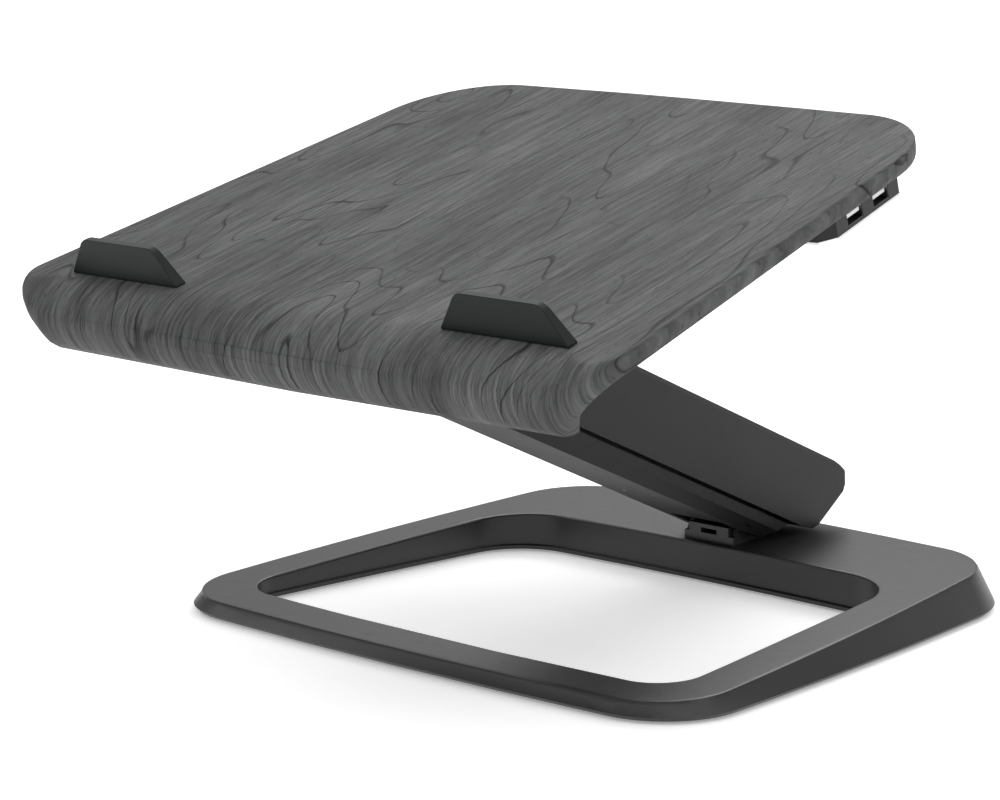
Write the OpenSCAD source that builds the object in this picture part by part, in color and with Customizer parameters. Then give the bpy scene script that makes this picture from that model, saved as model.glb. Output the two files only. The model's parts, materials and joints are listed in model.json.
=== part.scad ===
// Laptop riser: a tilting wood-grain platform on a parallel-link arm with a gas spring,
// standing on a wedge-shaped ring base. Millimetres, +Z up, +Y towards the rear.
// The origin is on the table, in the middle of the whole object's footprint.

/* [Base] */
// Width of the base across its front edge
base_w_front = 324; // [290:1:360]
// Width of the base across its rear edge
base_w_rear = 281; // [260:1:320]
// Length of the base, front line to rear line
base_len = 291; // [250:1:330]
// Height of the sloping top at its front edge
base_h_front = 9.2; // [8.5:0.1:14]
// Height of the sloping top at its rear edge
base_h_rear = 23.1; // [20:0.1:27]
// Width of the ring in front of the opening
base_rim_front = 26.6; // [24:0.1:40]
// Width of the ring at each side of the opening
base_rim_side = 25.2; // [22:0.1:36]
// Width of the ring behind the opening
base_rim_rear = 78.4; // [74:0.1:95]
// Wall thickness of the moulded base shell
base_wall = 2.8; // [2:0.1:3.5]
// Thickness of the base's bottom plate
base_plate_t = 1.8; // [1.2:0.1:2]
// Thickness of the rubber feet below the base
foot_t = 1.2; // [0.8:0.1:2]
// Diameter of each rubber foot
foot_d = 15; // [10:0.5:16]

/* [Arm] */
// Distance between the two pivots of each link
link_len = 259; // [220:1:290]
// Slope of the arm at rest
arm_angle = 24; // [20:1:28]
// Height of the main pivot above the table
pivot_h = 50.2; // [50.2:0.1:58]
// Distance of the main pivot in front of the base's rear line
pivot_inset = 23.2; // [22:0.1:34]
// How far the lower pivot lies in front of the main pivot
link_dy = 34.6; // [33:0.1:38]
// How far the lower pivot lies below the main pivot
link_dz = 15.1; // [15:0.1:16.5]
// Full width of the upper arm cover
arm_w = 57.5; // [57.5:0.5:70]
// Height of the upper cover's top above the main pivot line
cover_rise = 11.8; // [11.6:0.1:15]
// Depth of the upper cover's lower edge below the main pivot line
cover_drop = 26.2; // [22:0.1:26.2]
// Depth of the lower tray's floor below the lower pivot line
tray_drop = 11; // [10.6:0.1:11.4]
// Wall thickness of the arm covers
cover_wall = 2; // [1.6:0.1:2.2]
// Diameter of the two long pivot pins
pin_d = 8; // [6:0.5:8]
// Diameter of the short link pins
stub_d = 7; // [5:0.5:7]
// Running clearance of a pin in its hole, on the radius
pin_clear = 0.05; // [0.02:0.01:0.09]

/* [Gas spring] */
// Diameter of the gas spring's cylinder
spring_d = 15; // [12:0.5:15]
// Diameter of the gas spring's rod
rod_d = 6; // [4:0.5:8]
// Length of the gas spring's cylinder
spring_len = 150; // [110:1:165]
// Distance of the spring's anchor from the main pivot
anchor_r = 13; // [12.6:0.1:13.2]

/* [Platform] */
// Width of the platform across its front line
plat_w_front = 362; // [310:0.5:400]
// Width of the platform across its rear line
plat_w_rear = 303.8; // [270:1:350]
// Depth of the platform, front line to rear line
plat_len = 289.8; // [250:0.1:310]
// Slope of the platform at rest
plat_tilt = 15.3; // [12:0.1:18]
// Thickness of the platform's edge at the sides and the rear
plat_edge = 8.4; // [8:0.1:11]
// Depth of the rolled front edge
roll_depth = 34; // [26:0.5:36]
// How far the roll reaches back from the front line
roll_back = 27; // [24:0.5:34]
// Thickness of the wood-grain skin
skin_t = 3.4; // [2.5:0.1:4]
// Depth of the closed underside below the deck
under_depth = 13; // [12:0.1:14]
// Height of the deck above the tilt pivot
deck_rise = 20.9; // [20.4:0.1:23]
// Distance of the tilt pivot behind the platform's front line
tilt_inset = 95.5; // [88:0.5:108]
// Forward offset of the tilt pivot from the head's main pivot
tilt_dy = 13.9; // [13:0.1:16]
// Height of the tilt pivot above the head's main pivot
tilt_dz = 14.7; // [14:0.1:18]

/* [Stops] */
// Length of each laptop stop
stop_len = 70; // [40:1:80]
// Height of each laptop stop above the deck
stop_h = 17.5; // [8:0.5:18]
// Thickness of each laptop stop at its foot
stop_t = 6; // [4.5:0.5:9]
// Distance of each stop's middle from the centre line
stop_x = 116; // [90:1:118]
// Distance of the stops' front faces behind the platform's front line
stop_inset = 22; // [20:0.5:30]

/* [USB hub] */
// Depth of the hub along the platform's side
hub_len = 68; // [60:1:76]
// Width of the hub, measured across the platform
hub_w = 62; // [50:1:80]
// Thickness of the hub's housing below the platform's underside
hub_t = 9.2; // [8.8:0.1:12]
// Distance of the hub's outer face inside the platform's edge
hub_inset = 3; // [2:0.5:6]
// Distance of the hub's middle in front of the platform's rear line
hub_rear = 73; // [60:1:100]
// Distance between the two sockets' middles
usb_pitch = 22.5; // [20:0.5:26]

/* [Hidden] */

$fn = 48;
eps = 0.02;
gap = 0.15;            // fitting gap between pieces that are fixed together
move_gap = 0.5;        // least gap between pieces that move past each other
seat_clear = 0.01;     // clearance of a pin in the hole it is fixed in, on the radius
spring_pin_d = 6;

// Layers across the arm, as distances from the centre plane
cheek_in = 12.5;
cheek_out = 15.5;
rail_in = 17;
rail_out = 19;
channel_in = 20.5;
channel_out = 22.5;
cover_out = arm_w / 2;
cover_in = cover_out - cover_wall;
tray_out = cover_in - 0.55;
tray_in = tray_out - cover_wall;
ear_in = 17;
ear_out = 20;
pin_head = 1.4;

// Pivots in the side plane, as [y, z]
plat_bow_end = 2;
plat_bow_side = 0.5;
base_bow_end = 5.6;
base_bow_side = 4.6;
nose_drop = 16.7;
nose_reach = link_len * cos(arm_angle) + tilt_dy + (tilt_inset + plat_bow_end) * cos(plat_tilt)
    + (deck_rise - nose_drop) * sin(plat_tilt);
base_rear_y = (pivot_inset + nose_reach - base_bow_end) / 2;
base_front_y = base_rear_y - base_len;
main_pivot = [base_rear_y - pivot_inset, pivot_h];
low_pivot = main_pivot - [link_dy, link_dz];
head_pivot = main_pivot + [-link_len * cos(arm_angle), link_len * sin(arm_angle)];
head_low_pivot = head_pivot - [link_dy, link_dz];
tilt_pivot = head_pivot + [-tilt_dy, tilt_dz];
anchor_dir = 62;
anchor = main_pivot - anchor_r * [cos(anchor_dir), sin(anchor_dir)];
spring_q = -12.3;

// Base outline values
base_crease_z = 3.2;
base_top_in_front = 3.9;
base_top_in_rear = 15.9;
base_top_in_side = 4;
base_top_in_side_rear = 6.1;
base_rise = base_h_rear - base_h_front;
base_top_y0 = base_front_y + base_top_in_front;
base_top_y1 = base_rear_y - base_top_in_rear;
hole_y0 = base_front_y + base_rim_front;
hole_y1 = base_rear_y - base_rim_rear;
base_taper = (base_w_front - base_w_rear) / 2 / base_len;
lip_w = 1.6;
function base_top_z(y) = base_h_front + base_rise * (y - base_top_y0) / (base_top_y1 - base_top_y0);
function base_half_w(y) = base_w_front / 2 - base_taper * (y - base_front_y);

// ---- Outlines -------------------------------------------------------------------

function unit(v) = v / norm(v);
function bowed(a, b, s, t) =
    a + (b - a) * t + [b[1] - a[1], a[0] - b[0]] / norm(b - a) * 4 * s * t * (1 - t);
function bowed_dir(a, b, s, t) =
    unit((b - a) + [b[1] - a[1], a[0] - b[0]] / norm(b - a) * 4 * s * (1 - 2 * t));
function cross2(a, b) = a[0] * b[1] - a[1] * b[0];
function bezier(p, t) = p[0] * pow(1 - t, 3) + 3 * p[1] * t * pow(1 - t, 2)
    + 3 * p[2] * t * t * (1 - t) + p[3] * pow(t, 3);
function corner_curve(p0, d0, p1, d1, n) =
    let(k = cross2(p1 - p0, d1) / cross2(d0, d1), m = cross2(p1 - p0, d0) / cross2(d0, d1),
        h = 0.56, c = [p0, p0 + d0 * k * h, p1 + d1 * m * h, p1])
    [for (i = [1 : n - 1]) bezier(c, i / n)];

// Right half of a rounded trapezoid with bowed sides: front middle, round to rear middle.
// [front half-width, rear half-width, front y, rear y], [front, side, rear bow], [front, rear corner]
function half_outline(size, bow, corner, steps = [6, 12, 8, 12, 6]) =
    let(a = [-size[0], size[2]], b = [size[0], size[2]], c = [size[1], size[3]], d = [-size[1], size[3]],
        tf = 1 - corner[0] / norm(b - a), ts0 = corner[0] / norm(c - b),
        ts1 = 1 - corner[1] / norm(c - b), tr = corner[1] / norm(d - c))
    concat(
        [for (i = [0 : steps[0]]) bowed(a, b, bow[0], 0.5 + (tf - 0.5) * i / steps[0])],
        corner_curve(bowed(a, b, bow[0], tf), bowed_dir(a, b, bow[0], tf),
            bowed(b, c, bow[1], ts0), bowed_dir(b, c, bow[1], ts0), steps[1]),
        [for (i = [0 : steps[2]]) bowed(b, c, bow[1], ts0 + (ts1 - ts0) * i / steps[2])],
        corner_curve(bowed(b, c, bow[1], ts1), bowed_dir(b, c, bow[1], ts1),
            bowed(c, d, bow[2], tr), bowed_dir(c, d, bow[2], tr), steps[3]),
        [for (i = [0 : steps[4]]) bowed(c, d, bow[2], tr + (0.5 - tr) * i / steps[4])]);
function full_outline(half) =
    concat(half, [for (i = [len(half) - 2 : -1 : 1]) [-half[i][0], half[i][1]]]);
function normals(pts) =
    let(n = len(pts))
    [for (i = [0 : n - 1]) let(d = pts[(i + 1) % n] - pts[(i + n - 1) % n]) unit([d[1], -d[0]])];
function grown(pts, nrm, e) = [for (i = [0 : len(pts) - 1]) pts[i] + nrm[i] * e];
function mixed(a, b, f) = [for (i = [0 : len(a) - 1]) a[i] * (1 - f) + b[i] * f];
function at_z(pts, z) = [for (p = pts) [p[0], p[1], z]];
function on_top(pts, below) = [for (p = pts) [p[0], p[1], base_top_z(p[1]) - below]];

// A solid skinned over rings of equally many points, capped at both ends or closed into a loop
module ring_solid(rings, loop = false) {
    n = len(rings[0]);
    m = len(rings);
    walls = [
        for (k = [0 : m - (loop ? 1 : 2)], j = [0 : n - 1])
            let(a = k * n + j, b = k * n + (j + 1) % n,
                c = ((k + 1) % m) * n + (j + 1) % n, d = ((k + 1) % m) * n + j)
            each [[a, b, c], [a, c, d]]
    ];
    caps = loop ? [] : [[for (j = [n - 1 : -1 : 0]) j], [for (j = [0 : n - 1]) (m - 1) * n + j]];
    polyhedron(points = [for (r = rings) each r], faces = concat(walls, caps), convexity = 6);
}

base_edge = full_outline(half_outline(
    [base_w_front / 2, base_w_rear / 2, base_front_y, base_rear_y],
    [base_bow_end, base_bow_side, base_bow_end], [40, 47]));
base_edge_n = normals(base_edge);
base_top_edge = full_outline(half_outline(
    [base_w_front / 2 - base_top_in_side, base_half_w(base_top_y1) - base_top_in_side_rear,
        base_top_y0, base_top_y1],
    [5.2, 4.3, 5], [35.5, 34]));
base_top_n = normals(base_top_edge);
hole_edge = full_outline(half_outline(
    [base_half_w(hole_y0) - base_rim_side, base_half_w(hole_y1) - base_rim_side, hole_y0, hole_y1],
    [4.4, 1.4, 3.2], [22, 29]));
hole_n = normals(hole_edge);

// ---- Placing helpers ------------------------------------------------------------

// A flat shape drawn as (y, z), made solid from x0 to x1
module side_plate(x0, x1) {
    translate([x0, 0, 0]) rotate([90, 0, 90]) linear_extrude(x1 - x0) children();
}
module both_sides() {
    children();
    mirror([1, 0, 0]) children();
}
module at_pivot(p) translate([0, p[0], p[1]]) children();
// Upper arm frame: origin at the main pivot, +Y along the arm to the rear, +Z square to it
module upper_frame() at_pivot(main_pivot) rotate([-arm_angle, 0, 0]) children();
module lower_frame() at_pivot(low_pivot) rotate([-arm_angle, 0, 0]) children();
// Platform frame: origin at the tilt pivot, +Y up the deck, +Z square to it
module deck_frame() at_pivot(tilt_pivot) rotate([plat_tilt, 0, 0]) children();
// Base frame on the sloping top, under a given y
base_slope = atan(base_rise / (base_top_y1 - base_top_y0));
module on_base_top(y) translate([0, y, base_top_z(y)]) rotate([base_slope, 0, 0]) children();

// A cylinder across the arm
module cross_pin(r, x0, x1) translate([x0, 0, 0]) rotate([0, 90, 0]) cylinder(r = r, h = x1 - x0);
// A bar between two points, drawn flat, and a strap: the same bar with round ends
module bar(a, b, r) {
    translate(a) rotate(atan2(b[1] - a[1], b[0] - a[0])) translate([0, -r]) square([norm(b - a), 2 * r]);
}
module strap(a, b, r) {
    translate(a) circle(r);
    translate(b) circle(r);
    bar(a, b, r);
}
// A pan head screw along +Z, its head below z = 0
module pan_screw(d, l, head_d, head_h) {
    difference() {
        union() {
            translate([0, 0, -head_h]) cylinder(d = head_d, h = head_h);
            translate([0, 0, -eps]) cylinder(d = d, h = l + eps);
        }
        translate([0, 0, -head_h - eps]) cylinder(d = d * 0.75, h = head_h * 0.6, $fn = 6);
    }
}

// ---- Base -----------------------------------------------------------------------

top_t = base_wall;
edge_r = 1.4;
bracket_y = main_pivot[0] - 33.5;
bracket_screw_x = 7.5;
bracket_screw_y = 7.5;
bracket_screw_d = 4;
plate_screws = [
    [0, base_front_y + base_rim_front / 2], [0, base_rear_y - 18],
    [base_half_w(base_front_y + 90) - base_rim_side / 2, base_front_y + 90],
    [-base_half_w(base_front_y + 90) + base_rim_side / 2, base_front_y + 90],
    [base_half_w(base_front_y + 175) - base_rim_side / 2, base_front_y + 175],
    [-base_half_w(base_front_y + 175) + base_rim_side / 2, base_front_y + 175]
];
plate_screw_d = 3;
boss_d = 7;

module at_bracket_screws() {
    for (sx = [-1, 1], sy = [-1, 1])
        translate([sx * bracket_screw_x, bracket_y + sy * bracket_screw_y, 0]) children();
}

module base_shell() color("dimgray") difference() {
    union() {
        ring_solid([
            on_top(grown(hole_edge, hole_n, edge_r), 0),
            on_top(grown(base_top_edge, base_top_n, -edge_r), 0),
            on_top(grown(base_top_edge, base_top_n, -0.3), 0.35),
            on_top(mixed(base_edge, base_top_edge, 0.9), 2.2),
            at_z(base_edge, base_crease_z),
            at_z(grown(base_edge, base_edge_n, -0.3), base_crease_z - 0.5),
            at_z(grown(base_edge, base_edge_n, -2), foot_t),
            at_z(grown(base_edge, base_edge_n, -base_wall - 2), foot_t),
            on_top(grown(base_top_edge, base_top_n, -base_wall), top_t),
            on_top(grown(hole_edge, hole_n, base_wall), top_t),
            at_z(grown(hole_edge, hole_n, base_wall), foot_t),
            at_z(grown(hole_edge, hole_n, -lip_w), foot_t),
            at_z(grown(hole_edge, hole_n, -lip_w), base_crease_z - 0.2),
            at_z(hole_edge, base_crease_z + 0.4),
            on_top(hole_edge, edge_r),
            on_top(grown(hole_edge, hole_n, 0.4), 0.4)
        ], loop = true);
        for (p = plate_screws) translate([p[0], p[1], foot_t + base_plate_t])
            cylinder(d = boss_d, h = base_top_z(p[1]) - top_t / 2 - foot_t - base_plate_t);
    }
    for (p = plate_screws) translate([p[0], p[1], foot_t])
        cylinder(d = plate_screw_d - 0.4, h = base_top_z(p[1]) - top_t / 2 - foot_t - 1);
    at_bracket_screws() cylinder(d = bracket_screw_d + 0.6, h = base_h_rear + 5);
}

module base_plate() color("darkslategray") difference() {
    translate([0, 0, foot_t]) linear_extrude(base_plate_t) difference() {
        polygon(grown(base_edge, base_edge_n, -base_wall - 2 - gap - 1.8));
        polygon(grown(hole_edge, hole_n, base_wall + gap));
    }
    for (p = plate_screws) translate([p[0], p[1], foot_t - eps]) {
        cylinder(d = plate_screw_d + 0.4, h = base_plate_t + 1);
        cylinder(d1 = plate_screw_d + 3, d2 = plate_screw_d, h = 1.5);
    }
}

ballast_t = 8;
ballast_y0 = hole_y1 + 11;
ballast_y1 = base_rear_y - 30;
ballast_half_w = base_half_w(base_rear_y) - 26;
module ballast_plate() color("slategray") difference() {
    translate([-ballast_half_w, ballast_y0, foot_t + base_plate_t + eps])
        cube([2 * ballast_half_w, ballast_y1 - ballast_y0, ballast_t]);
    at_bracket_screws() cylinder(d = 11, h = base_h_rear);
    translate([0, plate_screws[1][1], 0]) cylinder(d = boss_d + 2 * move_gap, h = base_h_rear);
}

foot_places = [
    [base_half_w(base_front_y + 22) - 20, base_front_y + 22],
    [-base_half_w(base_front_y + 22) + 20, base_front_y + 22],
    [base_half_w(base_rear_y - 34) - 34, base_rear_y - 34],
    [-base_half_w(base_rear_y - 34) + 34, base_rear_y - 34]
];
module rubber_feet() color("black") for (p = foot_places) translate([p[0], p[1], 0])
    cylinder(d = foot_d, h = foot_t);

module base_plate_screws() color("silver") for (p = plate_screws)
    translate([p[0], p[1], foot_t + 0.1]) union() {
        cylinder(d1 = plate_screw_d + 2.4, d2 = plate_screw_d - 0.5, h = 1.4);
        cylinder(d = plate_screw_d - 0.5, h = base_top_z(p[1]) - foot_t - top_t - 1.5);
    }

// ---- Hinge bracket on the base --------------------------------------------------

bracket_foot_t = 4;
bracket_half_w = cheek_out;
cheek_front = -48.5;
cheek_rear = -19.5;
pivot_eye_r = 7;
module cheek_profile() {
    low = [-link_dy, -link_dz];
    difference() {
        union() {
            circle(pivot_eye_r);
            translate(low) circle(pivot_eye_r);
            polygon([
                [cheek_front, base_top_z(main_pivot[0] + cheek_front) - pivot_h],
                [cheek_rear, base_top_z(main_pivot[0] + cheek_rear) - pivot_h],
                [-19, -24.5], [-14.5, -17.5], [2, -pivot_eye_r + 1], [-1, pivot_eye_r - 0.5],
                [-link_dy - 3, -link_dz + pivot_eye_r - 1], [-link_dy - pivot_eye_r + 0.5, -link_dz + 1]
            ]);
        }
        circle(pin_d / 2 + gap);
        translate(low) circle(stub_d / 2 + seat_clear);
        translate(anchor - main_pivot) circle(spring_pin_d / 2 + seat_clear);
    }
}
bracket_len = cheek_rear - cheek_front;
bracket_mid = main_pivot[0] + (cheek_front + cheek_rear) / 2;
web_h = 6.5;
module hinge_bracket() color("#2a2c2d") difference() {
    union() {
        both_sides() at_pivot(main_pivot) side_plate(cheek_in, cheek_out) cheek_profile();
        on_base_top(bracket_mid) translate([-bracket_half_w, -bracket_len / 2, 0])
            cube([2 * bracket_half_w, bracket_len, bracket_foot_t]);
        on_base_top(bracket_mid) translate([-cheek_in - eps, -bracket_len / 2, 0])
            cube([2 * cheek_in + 2 * eps, 3, web_h + bracket_foot_t / 2]);
    }
    at_bracket_screws() cylinder(d = bracket_screw_d - 0.01, h = pivot_h);
    on_base_top(bracket_mid) translate([-5, -bracket_len / 2 - 1, bracket_foot_t])
        cube([10, 5, web_h - bracket_foot_t]);
}
screw_head_d = 8;
module bracket_screws() color("silver")
    for (sx = [-1, 1], y = [bracket_y - bracket_screw_y, bracket_y + bracket_screw_y])
        translate([sx * bracket_screw_x, y, base_top_z(y - screw_head_d / 2) - top_t - 0.1])
            pan_screw(bracket_screw_d - 0.02, top_t + bracket_foot_t, screw_head_d, 2.6);

// A pivot pin with thin riveted heads
module riveted_pin(d, half_len) {
    cross_pin(d / 2, -half_len, half_len);
    both_sides() cross_pin(d / 2 + 2, half_len - pin_head, half_len);
}
module main_pivot_pin() color("lightgray") at_pivot(main_pivot)
    riveted_pin(pin_d, channel_out + 0.15 + pin_head);
bush_r = pin_d / 2 + 2.4;
module pivot_bushes() both_sides() difference() {
    cross_pin(bush_r, cheek_out + gap, channel_in - gap);
    cross_pin(pin_d / 2 + pin_clear, cheek_in, channel_out);
}
module main_pivot_bushes() color("ivory") at_pivot(main_pivot) pivot_bushes();
module link_pins() both_sides() {
    cross_pin(stub_d / 2, cheek_in - 0.6, rail_out + 0.2);
    cross_pin(stub_d / 2 + 1, rail_out + 0.2, rail_out + 1.1);
    cross_pin(stub_d / 2 + 1, cheek_in - 1.6, cheek_in - 0.02);
}
module rear_link_pins() color("lightgray") at_pivot(low_pivot) link_pins();
module link_washers() both_sides() difference() {
    cross_pin(stub_d / 2 + 2.6, cheek_out + gap, rail_in - gap);
    cross_pin(stub_d / 2 + pin_clear, cheek_in, rail_out);
}
module rear_link_washers() color("ivory") at_pivot(low_pivot) link_washers();
module spring_anchor_pin() color("lightgray") at_pivot(anchor)
    cross_pin(spring_pin_d / 2, -cheek_out + 0.1, cheek_out - 0.1);

// ---- Upper arm ------------------------------------------------------------------

web_top = cover_rise - cover_wall - 0.2;
web_t = 2;
channel_drop = 8;
channel_end_r = 9;
module channel_wall() {
    difference() {
        union() {
            circle(channel_end_r);
            translate([-link_len, 0]) circle(channel_end_r);
            translate([-link_len, -channel_drop]) square([link_len, channel_drop + web_top]);
        }
        circle(pin_d / 2 + pin_clear);
        translate([-link_len, 0]) circle(pin_d / 2 + pin_clear);
    }
}
spring_rear = 36;
spring_front = spring_rear + spring_len + 9;
lug_in = 4.6;
lug_out = 7.6;
module upper_arm_channel() color("#3a3c3e") upper_frame() difference() {
    union() {
        both_sides() side_plate(channel_in, channel_out) channel_wall();
        translate([-channel_out + 0.5, -link_len + 14, web_top - web_t])
            cube([2 * channel_out - 1, link_len - 30, web_t]);
        // lugs that hold the front end of the gas spring
        both_sides() side_plate(lug_in, lug_out) difference() {
            union() {
                translate([-spring_front, spring_q]) circle(6.5);
                translate([-spring_front - 6.5, spring_q]) square([13, web_top - spring_q - 0.5]);
            }
            translate([-spring_front, spring_q]) circle(spring_pin_d / 2 + seat_clear);
        }
    }
    at_cover_screws() translate([0, 0, -5]) cylinder(d = cover_screw_d + 0.2, h = 30);
}
cover_screw_d = 2.5;
module at_cover_screws() for (sx = [-1, 1], p = [-62, -link_len + 62]) translate([sx * 13, p, 0]) children();

// Side shape of the upper cover, in the upper arm frame
cover_front = -link_len - 14;
cover_top_front = -link_len + 2;
function cover_profile(e) = [
    [cover_front + e, cover_rise - 6], [cover_front + e + 5, cover_rise - e],
    [15.5, cover_rise - e], [20, cover_rise - 1 - e * 0.9], [23.4 - e * 0.6, 8.6 - e * 0.5],
    [26.4 - e, 2.7], [26.4 - e, -1.2], [16 - e * 0.9, -18.3], [13.3 - e * 0.8, -cover_drop + 3.7 + e * 0.4],
    [9.3 - e * 0.5, -cover_drop + 0.9 + e], [1.5, -cover_drop], [cover_front + e + 8, -cover_drop],
    [cover_front + e, -cover_drop + 8]
];
module cover_block(half_w, e, cham) {
    intersection() {
        side_plate(-half_w, half_w) polygon(cover_profile(e));
        rotate([90, 0, 0]) translate([0, 0, -40 - e]) linear_extrude(link_len + 80) polygon([
            [-half_w, -60], [half_w, -60], [half_w, cover_rise - e - cham],
            [half_w - cham, cover_rise - e + eps], [-half_w + cham, cover_rise - e + eps],
            [-half_w, cover_rise - e - cham]
        ]);
    }
}
module upper_arm_cover() color("#3f4042") upper_frame() difference() {
    cover_block(cover_out, 0, 2.6);
    cover_block(cover_in, cover_wall, 1.4);
    // open underside
    translate([-cover_in, cover_front - 5, -cover_drop - 5]) cube([2 * cover_in, -cover_front + 5 + 9, 15]);
    // open front and the slot for the head
    translate([-cover_in, cover_front - 5, -cover_drop - 5]) cube([2 * cover_in, 12, cover_drop + 5]);
    translate([-cover_in, cover_front - 5, -5]) cube([2 * cover_in, cover_top_front - cover_front + 5, 30]);
    at_cover_screws() cylinder(d = cover_screw_d + 0.02, h = cover_rise - 0.6);
}
module arm_cover_screws() color("silver") upper_frame() at_cover_screws()
    translate([0, 0, web_top - web_t - 0.02]) pan_screw(cover_screw_d, web_t + cover_wall - 0.8, 5, 1.5);

// ---- Gas spring -----------------------------------------------------------------

module along_arm(p0, p1, r) translate([0, p0, 0]) rotate([-90, 0, 0]) cylinder(r = r, h = p1 - p0);
cyl_wall = 1.2;
module gas_spring_cylinder() color("#1c1c1e") upper_frame() translate([0, 0, spring_q]) difference() {
    union() {
        along_arm(-spring_rear - spring_len, -spring_rear, spring_d / 2);
        translate([0, -spring_front, 0]) cross_pin(6, -4, 4);
        translate([-4, -spring_front, -6]) cube([8, 10, 12]);
    }
    along_arm(-spring_rear - spring_len + 4, -spring_rear + 1, spring_d / 2 - cyl_wall);
    translate([0, -spring_front, 0]) cross_pin(spring_pin_d / 2 + gap, -10, 10);
}
module gas_spring_gland() color("gray") upper_frame() translate([0, 0, spring_q]) difference() {
    along_arm(-spring_rear - 9, -spring_rear - 0.2, spring_d / 2 - cyl_wall - 0.05);
    along_arm(-spring_rear - 10, -spring_rear + 1, rod_d / 2 + 0.05);
}
module spring_front_pin() color("lightgray") upper_frame() translate([0, -spring_front, spring_q])
    cross_pin(spring_pin_d / 2, -lug_out - 0.6, lug_out + 0.6);

eye_p = -0.9;
eye_r = 6.5;
module gas_spring_rod() color("whitesmoke") upper_frame() translate([0, 0, spring_q]) union() {
    along_arm(-spring_rear - 60, eye_p - eye_r - 6, rod_d / 2);
    along_arm(-spring_rear - 70, -spring_rear - 60 + eps, spring_d / 2 - cyl_wall - 0.4);
}
module rod_eye() color("#2a2c2d") upper_frame() translate([0, 0, spring_q]) difference() {
    union() {
        translate([0, eye_p, 0]) cross_pin(eye_r, -4, 4);
        along_arm(eye_p - eye_r - 9, eye_p - eye_r + 1.5, 5);
    }
    translate([0, eye_p, 0]) cross_pin(spring_pin_d / 2 + 1.2, -5, 5);
    along_arm(eye_p - eye_r - 10, eye_p - eye_r - 6 + 0.05, rod_d / 2 + 0.05);
}

// ---- Lower link -----------------------------------------------------------------

rail_r = 7;
module lower_link_rails() color("#3a3c3e") lower_frame() {
    both_sides() side_plate(rail_in, rail_out) difference() {
        union() {
            strap([0, 0], [-link_len, 0], rail_r);
            translate([-link_len + 30, -rail_floor]) square([link_len - 60, rail_floor]);
        }
        circle(stub_d / 2 + pin_clear);
        translate([-link_len, 0]) circle(stub_d / 2 + pin_clear);
    }
    difference() {
        for (p = tray_screw_p) translate([-rail_in - eps, p - 5, -rail_floor])
            cube([2 * rail_in + 2 * eps, 10, rail_bar_t]);
        at_tray_screws() cylinder(d = tray_screw_d + eps, h = 10);
    }
}
rail_bar_t = 1;
tray_screw_d = 3;
tray_screw_p = [-70, -link_len + 40];
module at_tray_screws() for (p = tray_screw_p, x = [-9, 9]) translate([x, p, -tray_drop - 1]) children();
rail_floor = tray_drop - cover_wall - 0.1;

tray_top = 0.2;
tray_cham = 5.8;
tray_cham_in = 4.2;
tray_front = -link_len - 9;
tray_slot_front = -22;
function tray_end(e) = [
    [tray_front + e, -3], [tray_front + e + 5, tray_top + 20], [20, tray_top + 20], [17.4 - e, tray_top],
    [11.4 - e, -5], [5.6 - e, -tray_drop + e * 0.4], [5.6 - e, -tray_drop - 1], [tray_front + e + 9, -tray_drop - 1],
    [tray_front + e, -tray_drop + 5]
];
module tray_block(half_w, e, top) {
    intersection() {
        side_plate(-half_w, half_w) polygon(tray_end(e));
        rotate([90, 0, 0]) translate([0, 0, -40]) linear_extrude(link_len + 80) polygon([
            [-half_w, tray_cham - tray_drop], [-half_w + tray_cham_in, -tray_drop + e],
            [half_w - tray_cham_in, -tray_drop + e], [half_w, tray_cham - tray_drop],
            [half_w, top], [-half_w, top]
        ]);
    }
}
module lower_arm_tray() color("#38393b") lower_frame() difference() {
    tray_block(tray_out, 0, tray_top);
    tray_block(tray_in, cover_wall, tray_top + 1);
    // open rear and front ends
    translate([-tray_in, -12, -tray_drop + cover_wall]) cube([2 * tray_in, 60, 40]);
    translate([-tray_in, tray_front - 5, -tray_drop + cover_wall]) cube([2 * tray_in, 20, 40]);
    // slot that the hinge bracket stands through
    translate([-rail_in + 0.2, tray_slot_front, -tray_drop - 5]) cube([2 * rail_in - 0.4, 80, 40]);
    at_tray_screws() cylinder(d = tray_screw_d + eps, h = 10);
}
module arm_tray_screws() color("silver") lower_frame() at_tray_screws()
    translate([0, 0, 1.1]) cylinder(d = tray_screw_d, h = cover_wall + 0.9);

// ---- Head -----------------------------------------------------------------------

head_eye_r = 7;
module head_profile() {
    low = [-link_dy, -link_dz];
    tilt = [-tilt_dy, tilt_dz];
    difference() {
        union() {
            for (p = [[0, 0], low, tilt]) translate(p) circle(head_eye_r);
            polygon([
                [head_eye_r - 1, 1], [tilt[0] + 4, tilt[1] + 5], [tilt[0] - 5, tilt[1] + 4],
                [low[0] - head_eye_r + 1, low[1] + 1], [low[0] + 1, low[1] - head_eye_r + 1],
                [2, -head_eye_r + 1]
            ]);
        }
        circle(pin_d / 2 + seat_clear);
        translate(low) circle(stub_d / 2 + seat_clear);
        translate(tilt) circle(tilt_d / 2 + seat_clear);
    }
}
tilt_d = 6;
module head_bracket() color("#2a2c2d") at_pivot(head_pivot) {
    both_sides() side_plate(cheek_in, cheek_out) head_profile();
    web_dir = atan2(tilt_dz + link_dz, link_dy - tilt_dy);
    side_plate(-cheek_in - eps, cheek_in + eps) translate([-link_dy, -link_dz]) rotate(web_dir)
        translate([9, 3]) square([norm([link_dy - tilt_dy, tilt_dz + link_dz]) - 16, 3]);
}
module head_pivot_pin() color("lightgray") at_pivot(head_pivot)
    riveted_pin(pin_d, channel_out + 0.15 + pin_head);
module head_pivot_bushes() color("ivory") at_pivot(head_pivot) pivot_bushes();
module front_link_pins() color("lightgray") at_pivot(head_low_pivot) link_pins();
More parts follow.
